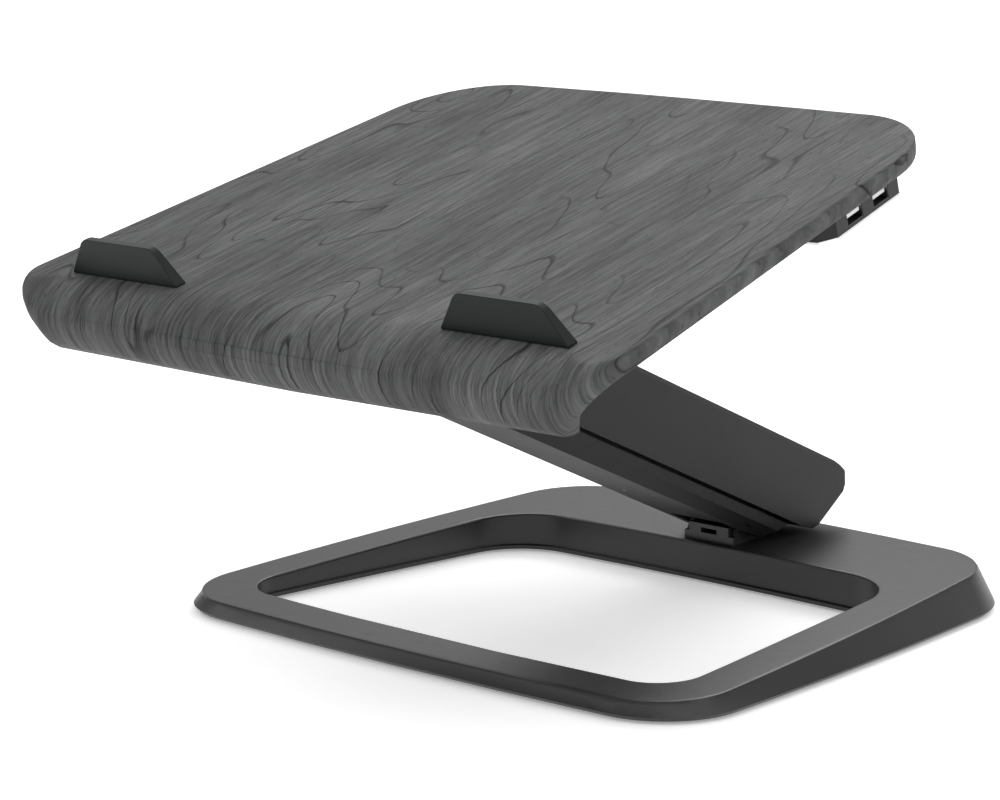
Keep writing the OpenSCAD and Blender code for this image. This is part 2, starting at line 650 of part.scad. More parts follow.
module front_link_washers() color("ivory") at_pivot(head_low_pivot) link_washers();
nut_af = 10;
nut_t = 3.2;
module tilt_pin() color("lightgray") at_pivot(tilt_pivot) cross_pin(tilt_d / 2, -25.6, 25.6);
module tilt_friction_washers() color("darkgray") at_pivot(tilt_pivot) both_sides() difference() {
    union() {
        cross_pin(6.5, cheek_out + gap, ear_in - gap);
        cross_pin(6, ear_out + gap, ear_out + 1);
        cross_pin(5.4, ear_out + 1, ear_out + 1.9);
    }
    cross_pin(tilt_d / 2 + 0.03, cheek_in, 26);
}
module tilt_nuts() color("silver") at_pivot(tilt_pivot) both_sides() difference() {
    translate([ear_out + 2, 0, 0]) rotate([0, 90, 0]) cylinder(d = nut_af / cos(30), h = nut_t, $fn = 6);
    cross_pin(tilt_d / 2 + 0.01, cheek_in, 27);
}

// ---- Platform -------------------------------------------------------------------

plat_front = -tilt_inset;
plat_rear = plat_front + plat_len;
plat_outline = full_outline(half_outline(
    [plat_w_front / 2, plat_w_rear / 2, plat_front, plat_rear],
    [plat_bow_end, plat_bow_side, 3], [26, 45], [8, 16, 12, 12, 6]));
plat_n = normals(plat_outline);
plat_taper = (plat_w_front - plat_w_rear) / 2 / plat_len;
function plat_half_w(s) = plat_w_front / 2 - plat_taper * (s - plat_front);
// How much of the front roll an outline point has: 0 at the sides and rear, 1 at the front
function front_share(n) = n[1] >= -0.08 ? 0 : pow(max(0, atan2(-n[1], abs(n[0])) / 90), 1.6);
side_r = 1.5;
roll_up = 16.7;
roll_under = 13.5;
side_under = 1.1;
function share(a, b, w) = a * (1 - w) + b * w;
function deck_ring(e, d) = [for (i = [0 : len(plat_outline) - 1])
    [plat_outline[i][0] - plat_n[i][0] * e[i], plat_outline[i][1] - plat_n[i][1] * e[i], deck_rise - d[i]]];
plat_share = [for (n = plat_n) front_share(n)];
// Outer face of the skin: turn t runs from 0 on the deck, 90 at the widest, to 180 at the lower edge
function skin_outer(t) = deck_ring(
    [for (w = plat_share) t <= 90 ? share(side_r, roll_back, w) * (1 - sin(t))
        : share(side_under, roll_under, w) * (1 - sin(t))],
    [for (w = plat_share) let(up = share(side_r, roll_up, w))
        t <= 90 ? up * (1 - cos(t)) : up - (share(plat_edge, roll_depth, w) - up) * cos(t)]);
// Inner face of the skin: step k runs from 0 under the deck to 7 at the lower edge
inner_turns = [0, 30, 60, 90, 112, 135, 158, 180];
function skin_inner(k) = let(t = inner_turns[k],
    side_e = k < 4 ? skin_t + 0.5 * (3 - k) : skin_t + side_under * (k - 3) / 4,
    side_d = k < 4 ? skin_t : skin_t + (plat_edge - skin_t) * (k - 3) / 4,
    front_e = t <= 90 ? roll_back * (1 - sin(t)) + skin_t * sin(t) + (k == 0 ? skin_t : 0)
        : roll_under * (1 - sin(t)) + skin_t,
    front_d = t <= 90 ? roll_up * (1 - cos(t)) + skin_t * cos(t)
        : roll_up - (roll_depth - roll_up) * cos(t))
    deck_ring([for (w = plat_share) share(side_e, front_e, w)], [for (w = plat_share) share(side_d, front_d, w)]);
skin_turns = [0, 12, 26, 42, 58, 74, 90, 108, 130, 155, 180];

module platform_panel() color("#55585a") deck_frame()
    ring_solid(concat([for (t = skin_turns) skin_outer(t)], [for (k = [7 : -1 : 0]) skin_inner(k)]));

// Underside cover: fills the roll at the front and closes the flat part behind it
under_t = 2.2;
under_gap = skin_t + 0.6;
// Its outline has rounder front corners than the skin's, so that it can lie well inside them
under_outline = full_outline(half_outline(
    [plat_w_front / 2 - 1, plat_w_rear / 2, plat_front, plat_rear],
    [plat_bow_end, plat_bow_side, 3], [46, 45], [8, 16, 12, 12, 6]));
under_n = normals(under_outline);
function under_ring(e, d_side, d_front) = [for (i = [0 : len(under_outline) - 1])
    let(w = front_share(under_n[i]), in = share(side_under, roll_under, w) + e)
    [under_outline[i][0] - under_n[i][0] * in, under_outline[i][1] - under_n[i][1] * in,
        deck_rise - share(d_side, d_front, w)]];
under_top_side = skin_t + 2;
under_top_front = skin_t + 16;
ear_slot_half = 17;
module platform_under_cover() color("#2f3032") deck_frame() difference() {
    ring_solid([
        under_ring(under_gap + 34, under_depth - under_t, under_depth - under_t),
        under_ring(under_gap + 26, under_depth - under_t, under_depth + 1.4),
        under_ring(under_gap + 15, under_depth - under_t, roll_depth - 8.6),
        under_ring(under_gap + 8.4, under_depth - 1.4 - under_t, roll_depth - 4.6),
        under_ring(under_gap + 2, under_depth - 5.4, roll_depth - 1.6),
        under_ring(under_gap + 2, under_top_side, under_top_front),
        under_ring(under_gap, under_top_side, under_top_front),
        under_ring(under_gap, plat_edge + 0.4, roll_depth + 0.6),
        under_ring(under_gap + 1.5, plat_edge + 1, roll_depth + 1),
        under_ring(under_gap + 9, under_depth - 1, roll_depth - 2),
        under_ring(under_gap + 16, under_depth, roll_depth - 6),
        under_ring(under_gap + 26, under_depth, under_depth + 4),
        under_ring(under_gap + 34, under_depth, under_depth)
    ]);
    both_sides() translate([ear_in - move_gap, -ear_slot_half, deck_rise - under_depth - 1])
        cube([ear_out - ear_in + 2 * move_gap, 2 * ear_slot_half, under_t + 2]);
    hub_frame() translate([-hub_w - gap, -hub_len / 2 - gap, -20]) cube([hub_w + 20, hub_len + 2 * gap, 40]);
    for (p = under_screws) translate([p[0], p[1], deck_rise - under_depth - eps]) {
        cylinder(d = 3.3, h = under_t + 1);
        cylinder(d1 = 6, d2 = 3.2, h = 1.4);
    }
}
under_screws = [
    for (sx = [-1, 1], s = [plat_front + 62, plat_front + 140]) [sx * 108, s],
    for (sx = [-1, 1]) [sx * 66, plat_rear - 32]
];
module under_cover_screws() color("silver") deck_frame() for (p = under_screws)
    translate([p[0], p[1], deck_rise - under_depth + 0.1]) union() {
        cylinder(d1 = 5.4, d2 = 2.9, h = 1.2);
        cylinder(d = 2.9, h = under_depth - skin_t - 0.5);
    }

stiff_t = 1.6;
stiff_rib = 3;
stiff_z = deck_rise - skin_t - 0.1 - stiff_t;
stiff_half_w = 118;
stiff_y0 = plat_front + 48;
stiff_y1 = plat_rear - 22;
module platform_stiffener() color("slategray") deck_frame() difference() {
    union() {
        translate([-stiff_half_w, stiff_y0, stiff_z]) cube([2 * stiff_half_w, stiff_y1 - stiff_y0, stiff_t]);
        for (x = [-stiff_half_w, -62, 60, stiff_half_w - 2]) translate([x, stiff_y0, stiff_z - stiff_rib])
            cube([2, stiff_y1 - stiff_y0, stiff_rib + eps]);
    }
    for (p = under_screws) translate([p[0], p[1], 0]) cylinder(d = 2.95, h = deck_rise);
    at_mount_screws() cylinder(d = mount_screw_d - 0.01, h = deck_rise);
    hub_frame() translate([-hub_w - 1, -hub_len / 2 - 1, -20]) cube([hub_w + 20, hub_len + 2, 40]);
}

mount_t = 2.2;
mount_z = stiff_z - mount_t;
mount_half_w = 46;
mount_half_l = 30;
mount_screw_d = 4;
module at_mount_screws() for (sx = [-1, 1], sy = [-1, 1]) translate([sx * 34, sy * 20, 0]) children();
ear_r = 7.4;
module tilt_mount_plate() color("#3a3c3e") deck_frame() difference() {
    union() {
        translate([-mount_half_w, -mount_half_l, mount_z]) cube([2 * mount_half_w, 2 * mount_half_l, mount_t]);
        both_sides() side_plate(ear_in, ear_out) difference() {
            union() {
                circle(ear_r);
                polygon([[-ear_r, 0], [ear_r, 0], [ear_slot_half - 1, mount_z + eps], [1 - ear_slot_half, mount_z + eps]]);
            }
            circle(tilt_d / 2 + 0.04);
        }
    }
    at_mount_screws() cylinder(d = mount_screw_d + 0.3, h = deck_rise);
}
module mount_plate_screws() color("silver") deck_frame() at_mount_screws()
    translate([0, 0, mount_z - 0.02]) pan_screw(mount_screw_d - 0.03, mount_t + stiff_t, 7.4, 2);

// ---- Stops ----------------------------------------------------------------------

stop_slant = 10;
stop_top_r = 4;
stop_seat = 0.05;      // adhesive film below a stop
stop_lean = 8;
// Front face of a stop, drawn in x and height above the deck
module stop_face() {
    h = stop_len / 2;
    polygon([[-h, -1], [h, -1], [h, 0.6], [h - stop_slant, stop_h - stop_top_r + 1.6],
        [h - stop_slant - 0.9, stop_h - 1.6], [h - stop_slant - 2.4, stop_h - 0.5],
        [h - stop_slant - 4.6, stop_h], [-h + stop_slant + 4.6, stop_h],
        [-h + stop_slant + 2.4, stop_h - 0.5], [-h + stop_slant + 0.9, stop_h - 1.6],
        [-h + stop_slant, stop_h - stop_top_r + 1.6], [-h, 0.6]]);
}
// A bonded stop; the face that the laptop leans on slopes, so the stop thins towards its top
module stop(side) deck_frame() translate([side * stop_x, plat_front + stop_inset, deck_rise]) intersection() {
    translate([0, stop_t + 1, 0]) rotate([90, 0, 0]) linear_extrude(stop_t + 2) stop_face();
    side_plate(-stop_len, stop_len) polygon([
        [0, stop_seat], [stop_t, stop_seat], [stop_t, 0.8],
        [stop_t - tan(stop_lean) * stop_h, stop_h + 1], [0, stop_h + 1]
    ]);
}
module left_stop() color("#1e2020") stop(-1);
module right_stop() color("#1e2020") stop(1);

// ---- USB hub --------------------------------------------------------------------

hub_s = plat_rear - hub_rear;
hub_wall = 1.6;
hub_cover_t = 1.2;
hub_case_t = hub_t - hub_cover_t;
socket_z = -3.9;
usb_open = [12.6, 5.2];
usb_wall = 0.3;
usb_depth = 14;
uplink = [9, 3.2];
// Hub frame: origin on the outer face, under the skin's edge, +X outwards, +Y along the side
module hub_frame() translate([plat_half_w(hub_s) + plat_bow_side - hub_inset, hub_s, deck_rise - plat_edge - 0.2])
    rotate([0, 0, atan(plat_taper)]) children();
module hub_plan(e) polygon([
    [-hub_w + e, -hub_len / 2 + e], [-6 - e * 0.4, -hub_len / 2 + e], [-e, -hub_len / 2 + 7 + e * 0.4],
    [-e, hub_len / 2 - 7 - e * 0.4], [-6 - e * 0.4, hub_len / 2 - e], [-hub_w + e, hub_len / 2 - e]
]);
module at_sockets() for (sy = [-1, 1]) translate([0, sy * usb_pitch / 2, socket_z]) children();
hub_screw_places = [[-9, -hub_len / 2 + 4.6], [-9, hub_len / 2 - 4.6],
    [-hub_w + 5, -hub_len / 2 + 5], [-hub_w + 5, hub_len / 2 - 5]];
module hub_housing() color("#202123") deck_frame() hub_frame() difference() {
    union() {
        difference() {
            translate([0, 0, -hub_case_t]) linear_extrude(hub_case_t) hub_plan(0);
            translate([0, 0, -hub_case_t - 1]) linear_extrude(hub_case_t + 1 - 0.7) hub_plan(hub_wall);
        }
        for (p = hub_screw_places) translate([p[0], p[1], -hub_case_t]) cylinder(d = 4.6, h = hub_case_t - 0.5);
    }
    at_sockets() translate([-8, -usb_open[0] / 2 - usb_wall - 0.05, -usb_open[1] / 2 - usb_wall - 0.05])
        cube([10, usb_open[0] + 2 * usb_wall + 0.1, usb_open[1] + 2 * usb_wall + 0.1]);
    translate([-hub_w / 2 - uplink[0] / 2 - 0.05, hub_len / 2 - 4, socket_z - uplink[1] / 2 - 0.05])
        cube([uplink[0] + 0.1, 8, uplink[1] + 0.1]);
    for (p = hub_screw_places) translate([p[0], p[1], -hub_case_t - 1]) cylinder(d = 2, h = hub_case_t - 0.5);
}
module hub_bottom_cover() color("#c8cacc") deck_frame() hub_frame() difference() {
    translate([0, 0, -hub_t]) linear_extrude(hub_cover_t) hub_plan(-0.25);
    for (p = hub_screw_places) translate([p[0], p[1], -hub_t - eps]) {
        cylinder(d = 2.3, h = 3);
        cylinder(d1 = 4.2, d2 = 2.2, h = 0.9);
    }
}
module usb_socket_shells() color("silver") deck_frame() hub_frame() at_sockets() difference() {
    translate([-usb_depth, -usb_open[0] / 2 - usb_wall, -usb_open[1] / 2 - usb_wall])
        cube([usb_depth - 0.2, usb_open[0] + 2 * usb_wall, usb_open[1] + 2 * usb_wall]);
    translate([-usb_depth + usb_wall, -usb_open[0] / 2, -usb_open[1] / 2])
        cube([usb_depth, usb_open[0], usb_open[1]]);
}
module usb_socket_tongues() color("white") deck_frame() hub_frame() at_sockets()
    translate([-usb_depth + usb_wall + 0.01, -5.6, 0.3]) cube([usb_depth - usb_wall - 1.2, 11.2, 1.9]);
board_t = 1;
board_z = socket_z - usb_open[1] / 2 - usb_wall - board_t - 0.02;
module hub_circuit_board() color("darkgreen") deck_frame() hub_frame()
    translate([-hub_w + 8.5, -hub_len / 2 + 8, board_z]) cube([hub_w - 8.5 - 2.2, hub_len - 16, board_t]);
module hub_uplink_socket() color("silver") deck_frame() hub_frame()
    translate([-hub_w / 2, hub_len / 2, socket_z]) difference() {
        translate([-uplink[0] / 2, -7.6, -uplink[1] / 2]) cube([uplink[0], 7.5, uplink[1]]);
        translate([-uplink[0] / 2 + 0.3, -7, -uplink[1] / 2 + 0.3]) cube([uplink[0] - 0.6, 8, uplink[1] - 0.6]);
    }
module hub_screws() color("silver") deck_frame() hub_frame() for (p = hub_screw_places)
    translate([p[0], p[1], -hub_t + 0.05]) union() {
        cylinder(d1 = 3.9, d2 = 1.95, h = 0.8);
        cylinder(d = 1.95, h = 7);
    }

base_shell();
base_plate();
ballast_plate();
rubber_feet();
base_plate_screws();
hinge_bracket();
bracket_screws();
main_pivot_pin();
main_pivot_bushes();
rear_link_pins();
rear_link_washers();
spring_anchor_pin();
upper_arm_channel();
upper_arm_cover();
arm_cover_screws();
gas_spring_cylinder();
gas_spring_gland();
spring_front_pin();
lower_link_rails();
lower_arm_tray();
arm_tray_screws();
gas_spring_rod();
rod_eye();
head_bracket();
head_pivot_pin();
head_pivot_bushes();
front_link_pins();
front_link_washers();
tilt_pin();
tilt_friction_washers();
tilt_nuts();
platform_panel();
platform_under_cover();
platform_stiffener();
tilt_mount_plate();
mount_plate_screws();
under_cover_screws();
left_stop();
right_stop();
hub_housing();
hub_bottom_cover();
usb_socket_shells();
usb_socket_tongues();
hub_circuit_board();
hub_uplink_socket();
hub_screws();
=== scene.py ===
import json
import math

import bmesh
import bpy
from mathutils import Matrix, Vector


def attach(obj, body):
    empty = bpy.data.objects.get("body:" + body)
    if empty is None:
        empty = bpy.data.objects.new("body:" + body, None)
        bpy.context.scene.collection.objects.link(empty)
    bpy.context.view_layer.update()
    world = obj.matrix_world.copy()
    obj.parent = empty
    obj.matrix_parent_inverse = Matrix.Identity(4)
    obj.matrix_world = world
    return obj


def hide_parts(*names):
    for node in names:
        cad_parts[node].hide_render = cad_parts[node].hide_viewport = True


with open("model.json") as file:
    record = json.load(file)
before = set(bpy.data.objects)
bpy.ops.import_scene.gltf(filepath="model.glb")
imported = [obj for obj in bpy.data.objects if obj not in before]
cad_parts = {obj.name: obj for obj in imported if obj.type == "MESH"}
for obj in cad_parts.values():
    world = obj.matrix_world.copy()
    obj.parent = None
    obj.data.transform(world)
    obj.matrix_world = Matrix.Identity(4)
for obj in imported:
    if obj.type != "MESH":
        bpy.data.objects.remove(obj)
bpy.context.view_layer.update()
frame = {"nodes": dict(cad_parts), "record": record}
scene = bpy.context.scene

# ---- Camera, floor and lights ---------------------------------------------------


def aimed(kind, name, place, target):
    """A camera or a lamp at a place, looking at a target."""
    thing = bpy.data.objects.new(name, kind)
    scene.collection.objects.link(thing)
    direction = Vector(target) - Vector(place)
    thing.matrix_world = Matrix.Translation(place) @ direction.to_track_quat("-Z", "Y").to_matrix().to_4x4()
    return thing


EYE = Vector((1.0116, -1.1485, 0.3980))
SIGHT = Vector((-0.6635, 0.7245, -0.1867))
lens = bpy.data.cameras.new("studio_camera")
lens.sensor_width = 36
lens.lens = 119.67
lens.clip_end = 50
scene.camera = aimed(lens, "studio_camera", EYE, EYE + SIGHT)


def soft_light(name, place, target, width, height, power):
    """A rectangular studio soft box."""
    lamp = bpy.data.lights.new(name, "AREA")
    lamp.shape = "RECTANGLE"
    lamp.size = width
    lamp.size_y = height
    lamp.energy = power
    return aimed(lamp, name, place, target)


soft_light("ceiling", (-1.0, 1.0, 4.0), (-1.0, 1.0, 0), 11, 11, 430)
soft_light("rear_box", (-0.7, 1.6, 1.5), (0, 0, 0.1), 1.4, 0.7, 9)
soft_light("right_box", (1.9, 0.1, 0.9), (0, 0, 0.08), 0.7, 0.7, 3)

sky = bpy.data.worlds.new("white_studio")
sky.use_nodes = True
sky.node_tree.nodes["Background"].inputs["Color"].default_value = (1, 1, 1, 1)
sky.node_tree.nodes["Background"].inputs["Strength"].default_value = 0.4
scene.world = sky
scene.view_settings.view_transform = "Standard"

floor_mesh = bpy.data.meshes.new("studio_floor")
floor_shape = bmesh.new()
bmesh.ops.create_grid(floor_shape, x_segments=1, y_segments=1, size=12)
floor_shape.to_mesh(floor_mesh)
floor = bpy.data.objects.new("studio_floor", floor_mesh)
scene.collection.objects.link(floor)

# ---- Finishes -------------------------------------------------------------------


class Value:
    """A socket of a shader; arithmetic on it adds Math nodes."""

    def __init__(self, finish, socket):
        self.finish = finish
        self.socket = socket

    def math(self, operation, first, second=None):
        given = {0: first}
        if second is not None:
            given[1] = second
        return self.finish.node("ShaderNodeMath", {"operation": operation}, given)

    def __add__(self, other):
        return self.math("ADD", self, other)

    def __radd__(self, other):
        return self.math("ADD", other, self)

    def __sub__(self, other):
        return self.math("SUBTRACT", self, other)

    def __rsub__(self, other):
        return self.math("SUBTRACT", other, self)

    def __mul__(self, other):
        return self.math("MULTIPLY", self, other)

    def __rmul__(self, other):
        return self.math("MULTIPLY", other, self)

    def fraction(self):
        return self.math("FRACT", self)

    def over(self, low, high):
        """0 below low, 1 above high, smooth between."""
        return self.finish.node("ShaderNodeMapRange", {"interpolation_type": "SMOOTHSTEP"},
                                {"Value": self, "From Min": low, "From Max": high})


class Finish:
    """One material: a Principled shader, and the nodes that feed it."""

    def __init__(self, name, colour, roughness, metallic=0.0, **constants):
        self.material = bpy.data.materials.new(name)
        self.material.use_nodes = True
        self.tree = self.material.node_tree
        self.shader = self.tree.nodes["Principled BSDF"]
        self.feed("Base Color", (*colour, 1))
        self.feed("Roughness", roughness)
        self.feed("Metallic", metallic)
        for key, value in constants.items():
            self.feed(key.replace("_", " "), value)
        self.place = self.node("ShaderNodeTexCoord", out="Object")

    def feed(self, name, value):
        self.plug(self.shader.inputs[name], value)

    def plug(self, socket, value):
        if isinstance(value, Value):
            self.tree.links.new(value.socket, socket)
        else:
            socket.default_value = value

    def node(self, kind, settings=(), inputs=(), out=0):
        made = self.tree.nodes.new(kind)
        for key, value in dict(settings).items():
            if key == "stops":
                ramp = made.color_ramp
                while len(ramp.elements) < len(value):
                    ramp.elements.new(0.5)
                for element, (position, shade) in zip(ramp.elements, value):
                    element.position = position
                    element.color = (*shade, 1)
            else:
                setattr(made, key, value)
        for key, value in dict(inputs).items():
            self.plug(made.inputs[key], value)
        return Value(self, made.outputs[out])

    def noise(self, place, scale, detail=2.0, roughness=0.5):
        return self.node("ShaderNodeTexNoise", (), {
            "Vector": place, "Scale": scale, "Detail": detail, "Roughness": roughness})

    def stretched(self, place, x, y, z):
        return self.node("ShaderNodeVectorMath", {"operation": "MULTIPLY"}, {0: place, 1: (x, y, z)})

    def mixed(self, amount, first, second):
        made = self.tree.nodes.new("ShaderNodeMix")
        made.data_type = "RGBA"
        self.plug(made.inputs["Factor"], amount)
        for socket, value in ((made.inputs[6], first), (made.inputs[7], second)):
            self.plug(socket, value if isinstance(value, Value) else (*value, 1))
        return Value(self, made.outputs[2])

    def bump(self, height, strength, distance):
        self.feed("Normal", self.node("ShaderNodeBump", (), {
            "Height": height, "Strength": strength, "Distance": distance}))


def shaded(colour, factor):
    return tuple(channel * factor for channel in colour)


MOULD_GRAIN_HEIGHT = 0.00012
MOULD_GRAIN_SCALE = 2600


def moulded_plastic(name, colour, roughness, **constants):
    """Moulded plastic: fine spark-eroded texture, faint flow marks and a little dust and handling wear."""
    finish = Finish(name, colour, roughness, **constants)
    fine = finish.noise(finish.place, MOULD_GRAIN_SCALE, 2.0, 0.6)
    flow = finish.noise(finish.place, 26, 3.0, 0.55)
    wear = finish.noise(finish.place, 140, 4.0, 0.6).over(0.52, 0.75)
    finish.feed("Base Color", finish.mixed(
        flow * 0.7 + fine * 0.3, shaded(colour, 0.86), shaded(colour, 1.16)))
    finish.feed("Roughness", (flow - 0.5) * 0.10 + wear * 0.05 + (fine - 0.5) * 0.08 + roughness)
    finish.bump(fine, 0.35, MOULD_GRAIN_HEIGHT)
    return finish.material


def coated_steel(name, colour, roughness):
    """Powder coated steel: orange peel and slightly worn, brighter flecks."""
    finish = Finish(name, colour, roughness, 0.0)
    peel = finish.noise(finish.place, 900, 2.0, 0.5)
    patch = finish.noise(finish.place, 45, 4.0, 0.6)
    finish.feed("Base Color", finish.mixed(patch, shaded(colour, 0.8), shaded(colour, 1.25)))
    finish.feed("Roughness", (peel - 0.5) * 0.18 + (patch - 0.5) * 0.1 + roughness)
    finish.bump(peel, 0.5, 0.00018)
    return finish.material


def worked_metal(name, colour, roughness, along):
    """Machined or plated metal with fine lines along one direction and faint smudges."""
    finish = Finish(name, colour, roughness, 1.0)
    lines = finish.noise(finish.stretched(finish.place, *along), 1.0, 2.0, 0.6)
    smudge = finish.noise(finish.place, 60, 4.0, 0.6)
    finish.feed("Base Color", finish.mixed(smudge, shaded(colour, 0.82), colour))
    finish.feed("Roughness", (lines - 0.5) * 0.2 + (smudge - 0.5) * 0.15 + roughness)
    finish.bump(lines, 0.2, 0.00006)
    return finish.material


TILT = math.radians(15.3)
TILT_PIVOT = Vector((0, -0.092078, 0.170245))


def charcoal_wood():
    """Charcoal wood-grain laminate: loops along the deck, fine dark pores, light streaks and knots."""
    finish = Finish("charcoal_wood_grain", (0.1, 0.101, 0.102), 0.6, Specular_IOR_Level=0.12)
    deck = finish.node("ShaderNodeMapping", {"vector_type": "TEXTURE"}, {
        "Vector": finish.place, "Location": TILT_PIVOT, "Rotation": (TILT, 0, 0)})
    parts = finish.tree.nodes.new("ShaderNodeSeparateXYZ")
    finish.plug(parts.inputs[0], deck)
    across, up_deck, out = (Value(finish, socket) for socket in parts.outputs)
    along = up_deck + out
    sheet = finish.node("ShaderNodeCombineXYZ", (), {0: across, 1: along, 2: 0.0})
    warp = finish.noise(finish.stretched(sheet, 60, 12, 1), 1.0, 4.0, 0.6)
    relief = finish.noise(finish.stretched(sheet, 12, 3.4, 1), 1.0, 2.0, 0.5)
    knots = finish.node("ShaderNodeTexVoronoi", {"feature": "F1"}, {
        "Vector": finish.stretched(sheet, 10, 6, 1), "Scale": 1.0, "Randomness": 1.0}, out="Distance")
    knot_pull = 1 - knots.over(0.0, 0.30)
    rings = (relief * 19 + across * 9 + warp * 0.2 + knot_pull * 2.4).fraction()
    fade = finish.noise(finish.stretched(sheet, 22, 9, 1), 1.0, 2.0, 0.5).over(0.40, 0.62)
    line = (rings.over(0.87, 0.97) - rings.over(0.97, 1.0)) * fade
    fine = finish.noise(finish.stretched(sheet, 640, 26, 1), 1.0, 4.0, 0.7)
    streak = finish.noise(finish.stretched(sheet, 210, 11, 1), 1.0, 4.0, 0.65)
    broad = finish.noise(finish.stretched(sheet, 24, 6, 1), 1.0, 4.0, 0.55)
    pores = finish.noise(finish.stretched(sheet, 1700, 130, 1), 1.0, 1.0, 0.5).over(0.62, 0.72)
    tone = (fine - 0.5) * 1.5 + (streak - 0.5) * 0.7 + (broad - 0.5) * 0.9 + 0.52 - line * 0.6
    wood = finish.node("ShaderNodeValToRGB", {"stops": [
        (0.0, (0.012, 0.012, 0.0125)), (0.28, (0.042, 0.0425, 0.043)), (0.5, (0.072, 0.073, 0.0735)),
        (0.72, (0.104, 0.105, 0.106)), (1.0, (0.17, 0.171, 0.171))]}, {"Fac": tone})
    heart = knot_pull.over(0.80, 0.97)
    finish.feed("Base Color", finish.mixed(pores * 0.5 + heart * 0.45, wood, (0.02, 0.02, 0.0205)))
    finish.feed("Roughness", 0.6 - line * 0.05 + pores * 0.12 + (fine - 0.5) * 0.12)
    finish.bump(fine * 0.6 - line * 0.3 - pores * 0.7, 0.35, 0.0002)
    return finish.material


def foot_rubber():
    finish = Finish("foot_rubber", (0.022, 0.022, 0.022), 0.85)
    grit = finish.noise(finish.place, 1800, 3.0, 0.6)
    dust = finish.noise(finish.place, 120, 4.0, 0.6)
    finish.feed("Base Color", finish.mixed(dust.over(0.45, 0.8), (0.02, 0.02, 0.02), (0.06, 0.058, 0.055)))
    finish.feed("Roughness", 0.78 + grit * 0.15)
    finish.bump(grit, 0.4, 0.0002)
    return finish.material


def solder_mask():
    """Circuit board: green mask with a faint pattern of tracks under it."""
    finish = Finish("circuit_board", (0.02, 0.1, 0.05), 0.3, Coat_Weight=0.4)
    tracks = finish.node("ShaderNodeTexBrick", {"offset": 0.5}, {
        "Vector": finish.place, "Scale": 260.0, "Mortar Size": 0.06,
        "Color1": (0, 0, 0, 1), "Color2": (0, 0, 0, 1), "Mortar": (1, 1, 1, 1)}, out="Fac")
    finish.feed("Base Color", finish.mixed(tracks, (0.018, 0.085, 0.04), (0.035, 0.15, 0.07)))
    finish.bump(tracks, 0.3, 0.00008)
    return finish.material


FINISHES = {
    "base_plastic": moulded_plastic("base_satin_plastic", (0.0125, 0.0127, 0.013), 0.36,
                                    Specular_IOR_Level=0.55),
    "base_plate_steel": coated_steel("base_plate_coat", (0.03, 0.03, 0.031), 0.45),
    "ballast_steel": worked_metal("zinc_sheet", (0.5, 0.51, 0.52), 0.42, (30, 900, 30)),
    "foot_rubber": foot_rubber(),
    "zinc_screws": worked_metal("zinc_screws", (0.62, 0.62, 0.6), 0.3, (400, 400, 400)),
    "bracket_steel": coated_steel("bracket_coat", (0.024, 0.025, 0.027), 0.42),
    "pin_steel": worked_metal("ground_pins", (0.56, 0.56, 0.57), 0.26, (60, 1500, 1500)),
    "bush_nylon": moulded_plastic("nylon", (0.6, 0.59, 0.55), 0.5, Subsurface_Weight=0.1),
    "arm_plastic": moulded_plastic("arm_cover_plastic", (0.012, 0.0123, 0.013), 0.45,
                                   Specular_IOR_Level=0.28),
    "tray_plastic": moulded_plastic("arm_tray_plastic", (0.010, 0.0103, 0.011), 0.45,
                                    Specular_IOR_Level=0.25),
    "cylinder_paint": coated_steel("cylinder_paint", (0.012, 0.012, 0.013), 0.22),
    "rod_chrome": worked_metal("hard_chrome", (0.72, 0.73, 0.75), 0.08, (900, 60, 900)),
    "wood_grain": charcoal_wood(),
    "under_plastic": moulded_plastic("under_cover_plastic", (0.03, 0.03, 0.032), 0.55),
    "stop_plastic": moulded_plastic("stop_plastic", (0.0045, 0.006, 0.006), 0.36, Specular_IOR_Level=0.2),
    "hub_plastic": moulded_plastic("hub_plastic", (0.007, 0.007, 0.0075), 0.34, Specular_IOR_Level=0.3),
    "hub_cover_aluminium": worked_metal("hub_cover_aluminium", (0.78, 0.79, 0.8), 0.34, (900, 20, 40)),
    "socket_steel": worked_metal("socket_plating", (0.16, 0.16, 0.165), 0.35, (200, 1200, 200)),
    "socket_plastic": moulded_plastic("socket_tongue", (0.75, 0.75, 0.73), 0.45),
    "circuit_board": solder_mask(),
    "contact_gold": worked_metal("contact_gold", (0.83, 0.6, 0.25), 0.25, (300, 300, 300)),
}

floor_finish = Finish("floor_paper", (0.93, 0.93, 0.93), 0.9,
                      Emission_Color=(1, 1, 1, 1), Emission_Strength=0.3)
paper = floor_finish.noise(floor_finish.place, 300, 3.0, 0.6)
floor_finish.feed("Roughness", 0.85 + paper * 0.1)
floor_mesh.materials.append(floor_finish.material)

body_of_node = {n: b for b, members in frame["record"]["behaviour"]["bodies"].items() for n in members}
slot_of_node = {s["node"]: s["material_slot"] for s in frame["record"]["subparts"]}
for node, shape in frame["nodes"].items():
    finish = FINISHES[slot_of_node[node]]
    if not shape.material_slots:
        shape.data.materials.append(finish)
    for material_slot in shape.material_slots:
        material_slot.material = finish

# ---- Softened copies of the moulded pieces --------------------------------------


def as_piece(name, shape, finish_slot, body):
    """Turns a bmesh into a piece that rides on a body."""
    mesh = bpy.data.meshes.new(name)
    shape.to_mesh(mesh)
    shape.free()
    mesh.materials.append(FINISHES[finish_slot])
    piece = bpy.data.objects.new(name, mesh)
    scene.collection.objects.link(piece)
    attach(piece, body)
    return piece


WELD = 0.00001
MERGE_ANGLE = math.radians(0.6)
LEVEL_WITHIN = 0.00004


